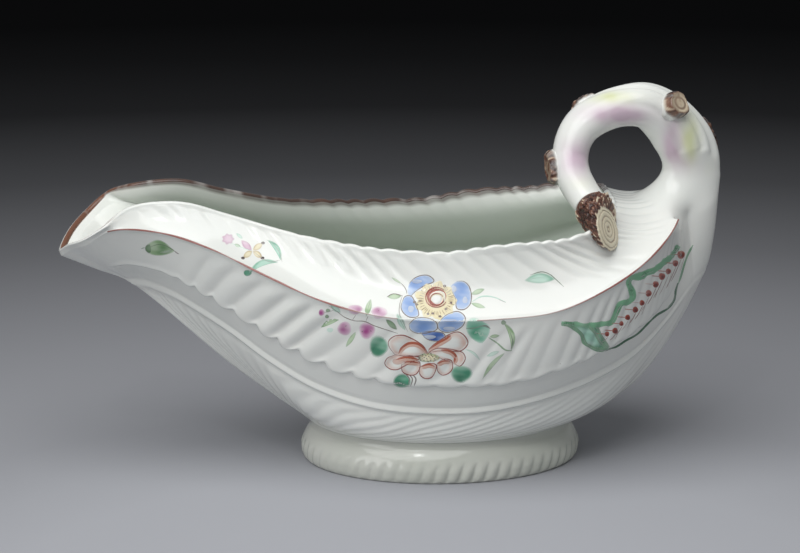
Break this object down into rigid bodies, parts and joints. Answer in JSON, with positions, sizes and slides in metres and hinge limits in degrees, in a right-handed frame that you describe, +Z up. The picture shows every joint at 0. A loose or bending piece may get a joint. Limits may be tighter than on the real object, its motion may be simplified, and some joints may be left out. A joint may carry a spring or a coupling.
{
  "type": "sauceboat",
  "caption": "Leaf-moulded boat-shaped pouring vessel with a lip, a looped stalk handle with a branch end on the rim, and an oval gadrooned foot.",
  "frame": {"origin": "on the table, under the middle of the whole object's box", "axes": "+X from the spout to the handle, +Y away from the side with the flower spray, +Z up"},
  "size_m": [0.2102, 0.0998, 0.1205],
  "materials": {
    "glaze": "glossy soft-paste glaze",
    "foot_glaze": "glossy soft-paste glaze",
    "stalk_glaze": "glossy glaze with enamel washes",
    "bark": "brown enamel over glaze"
  },
  "bodies": {
    "root": {"leaf_bowl": "glaze", "foot_ring": "foot_glaze", "stalk_handle": "stalk_glaze", "branch_end": "bark", "twig_top": "bark", "twig_back": "bark", "twig_front": "bark", "twig_crown": "bark"}
  },
  "joints": []
}
